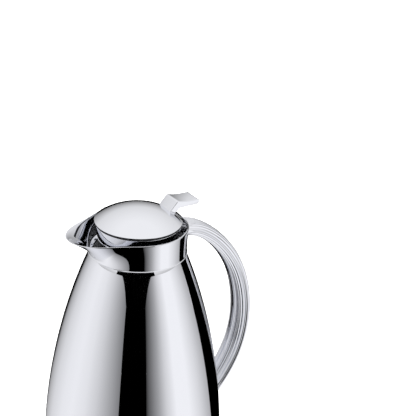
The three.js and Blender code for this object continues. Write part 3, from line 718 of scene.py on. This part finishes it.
# ---------------------------------------------------------------- camera
# Level with the lid and looking down on it, turned so that the handle swings away to the right.
camera_turn = math.radians(35)
camera_drop = math.radians(24.5)
camera_roll = math.radians(2.85)
camera_distance = 1.176
aside, above = 51.94 * MM, 35.18 * MM
right = Vector((math.cos(camera_turn), -math.sin(camera_turn), 0))
away = Vector((math.sin(camera_turn), math.cos(camera_turn), 0))
forward = away * math.cos(camera_drop) - Vector((0, 0, math.sin(camera_drop)))
upward = away * math.sin(camera_drop) + Vector((0, 0, math.cos(camera_drop)))
cam = bpy.data.objects.new("camera", bpy.data.cameras.new("camera"))
cam.data.lens = 133.65
cam.data.sensor_width = 36
cam.data.clip_end = 50
bpy.context.scene.collection.objects.link(cam)
bpy.context.scene.camera = cam
cam_right = math.cos(camera_roll) * right + math.sin(camera_roll) * upward
cam_up = math.cos(camera_roll) * upward - math.sin(camera_roll) * right
cam_place = Vector((0, 0, seam)) - forward * camera_distance + right * aside + upward * above
cam.matrix_world = Matrix((
    (cam_right.x, cam_up.x, -forward.x, cam_place.x),
    (cam_right.y, cam_up.y, -forward.y, cam_place.y),
    (cam_right.z, cam_up.z, -forward.z, cam_place.z),
    (0, 0, 0, 1),
))

# ---------------------------------------------------------------- studio
# A pale floor under even light. Mirror metal only shows its surroundings, so the studio has one
# overhead softbox, and light panels and black cards bent round the jug that only the metal sees.
bpy.ops.mesh.primitive_plane_add(size=16, location=(0, 0, 0))
floor = bpy.context.object
floor.name = "floor"
pale_floor, floor_shader = new_material("matt_white_floor", "#f3f3f3", 0.0, 0.9)
floor_place = add_node(pale_floor, "ShaderNodeTexCoord").outputs["Object"]
floor_speck = add_node(pale_floor, "ShaderNodeTexNoise", [(floor_place, "Vector")], Scale=60.0)
floor_bump = add_node(pale_floor, "ShaderNodeBump", [(floor_speck.outputs["Fac"], "Height")],
                      Strength=0.05, Distance=0.2 * MM)
pale_floor.node_tree.links.new(floor_bump.outputs["Normal"], floor_shader.inputs["Normal"])
floor.data.materials.append(pale_floor)

camera_side = math.degrees(math.atan2(-away.y, -away.x))
card_lie = 4 * MM
eye_height = 0.26
panel_stand = 1.4
card_start = 0.073
chrome_reflects = 0.82  # so a panel is brighter than the tone that the metal shows


def card(name, outline, tones, top=None, steps=60):
    """A card or light panel bent round the jug: an upright outline of (distance, height) spun
    from the first bearing to the last. Bearings are degrees from the camera's side, counted to
    its right, and each has its tone. The top edge may rise and fall with the bearing."""
    start, end = tones[0][0], tones[-1][0]
    distance, height = outline[0]
    turn = math.radians(camera_side + start)
    bpy.ops.mesh.primitive_plane_add(size=1)
    piece = bpy.context.object
    piece.name = name
    bpy.ops.object.mode_set(mode="EDIT")
    bpy.ops.mesh.select_all(action="SELECT")
    bpy.ops.mesh.merge(type="CENTER")
    bpy.ops.transform.translate(value=(distance * math.cos(turn), distance * math.sin(turn), height))
    for (d0, z0), (d1, z1) in zip(outline, outline[1:]):
        step = ((d1 - d0) * math.cos(turn), (d1 - d0) * math.sin(turn), z1 - z0)
        bpy.ops.mesh.extrude_vertices_move(TRANSFORM_OT_translate={"value": step})
    bpy.ops.mesh.select_all(action="SELECT")
    bpy.ops.mesh.spin(steps=steps, angle=math.radians(start - end), center=(0, 0, 0), axis=(0, 0, 1))
    bpy.ops.object.mode_set(mode="OBJECT")
    tone = piece.data.attributes.new("tone", "FLOAT", "POINT")
    middle = (start + end) / 2
    for vertex in piece.data.vertices:
        bearing = math.degrees(math.atan2(vertex.co.y, vertex.co.x)) - camera_side
        bearing = middle + (bearing - middle + 180) % 360 - 180
        for (b0, t0), (b1, t1) in zip(tones, tones[1:]):
            if b0 - 0.1 <= bearing <= b1 + 0.1:
                tone.data[vertex.index].value = t0 + (t1 - t0) * (bearing - b0) / (b1 - b0)
        if top and vertex.co.z > outline[-1][1] - MM:
            vertex.co.z = eye_height + outline[-1][0] * math.tan(math.radians(top(bearing)))
    paint = bpy.data.materials.new(name)
    paint.use_nodes = True
    paint.node_tree.nodes.clear()
    shade = add_node(paint, "ShaderNodeAttribute", attribute_name="tone")
    glow = add_node(paint, "ShaderNodeEmission", [(shade.outputs["Fac"], "Strength")],
                    Color=linear("#fdfdff"))
    add_node(paint, "ShaderNodeOutputMaterial", [(glow.outputs[0], "Surface")])
    piece.data.materials.append(paint)
    piece.visible_camera = False
    piece.visible_diffuse = False
    piece.visible_shadow = False
    bpy.ops.object.select_all(action="DESELECT")


top_at_gap, top_sweep = 7, 9.5  # degrees above the eye, and how far the edge climbs from there
sweep_width = 8
droop_start, droop_rate = 30, 0.07


def panel_top(bearing):
    """The two panels' top edges sweep up and away from the gap between them."""
    beyond_gap = max(0.0, gap_left - bearing, bearing - gap_right)
    sweep = 1 - math.exp(-beyond_gap / sweep_width)
    droop = droop_rate * max(0.0, beyond_gap - droop_start)
    return top_at_gap + top_sweep * sweep - droop


# Two light panels with a black gap between them on the camera's side, each brightest in its
# middle, and black behind the jug on the right, which gives the metal its dark edges.
gap_left, gap_right = -14.5, 19.5
left_panel = [(-149, 0.0), (-145, 0.08), (-141, 0.28), (-136, 0.38), (-128, 0.5), (-116, 0.66),
              (-95, 0.8), (-78, 0.84), (-60, 0.77), (-45, 0.62), (-30, 0.41), (gap_left, 0.2)]
right_panel = [(gap_right, 0.04), (22, 0.1), (26, 0.17), (35, 0.35), (45, 0.63), (58, 0.88), (76, 0.88),
               (94, 0.68), (104, 0.54), (115, 0.4)]
panel_side = [(card_start, card_lie), (panel_stand, card_lie), (panel_stand, 0.9)]
for name, panel in (("left_panel", left_panel), ("right_panel", right_panel)):
    card(name, panel_side, [(bearing, tone / chrome_reflects) for bearing, tone in panel], panel_top)
front_stand, rear_stand = 1.6, 1.2
card("front_card", [(front_stand, card_lie), (front_stand, 1.5)], [(-43, 0), (43, 0)])
card("gap_card", [(card_start, card_lie), (front_stand, card_lie)], [(gap_left, 0), (gap_right, 0)])
card("back_card", [(card_start, card_lie), (rear_stand, card_lie), (rear_stand, 0.24)],
     [(150, 0), (211, 0)])
card("side_card", [(card_start, card_lie), (rear_stand, card_lie), (rear_stand, 0.4)],
     [(115, 0), (162, 0)])

world = bpy.data.worlds.new("studio")
bpy.context.scene.world = world
world.use_nodes = True
direction = add_node(world, "ShaderNodeTexCoord").outputs["Generated"]
height_of = add_node(world, "ShaderNodeSeparateXYZ", [(direction, "Vector")]).outputs["Z"]
ceiling = add_node(world, "ShaderNodeValToRGB", [(height_of, "Fac")])
sky_tones = [(0.0, 0.26), (0.42, 0.82), (0.9, 1.02)]
stops = [ceiling.color_ramp.elements[0], ceiling.color_ramp.elements.new(sky_tones[1][0]),
         ceiling.color_ramp.elements[-1]]
for (height, tone), stop in zip(sky_tones, stops):
    stop.position = height
    stop.color = (tone, tone, tone * 1.01, 1)
world.node_tree.links.new(ceiling.outputs["Color"], world.node_tree.nodes["Background"].inputs["Color"])
world.node_tree.nodes["Background"].inputs["Strength"].default_value = 1.0
softbox = bpy.data.objects.new("overhead_softbox", bpy.data.lights.new("overhead_softbox", "AREA"))
softbox.data.shape = "RECTANGLE"
softbox.data.size = 4
softbox.data.size_y = 4
softbox.data.energy = 160
softbox.location = (0, 1, 3)
softbox.visible_glossy = False
bpy.context.scene.collection.objects.link(softbox)

bpy.context.scene.view_settings.view_transform = "Standard"
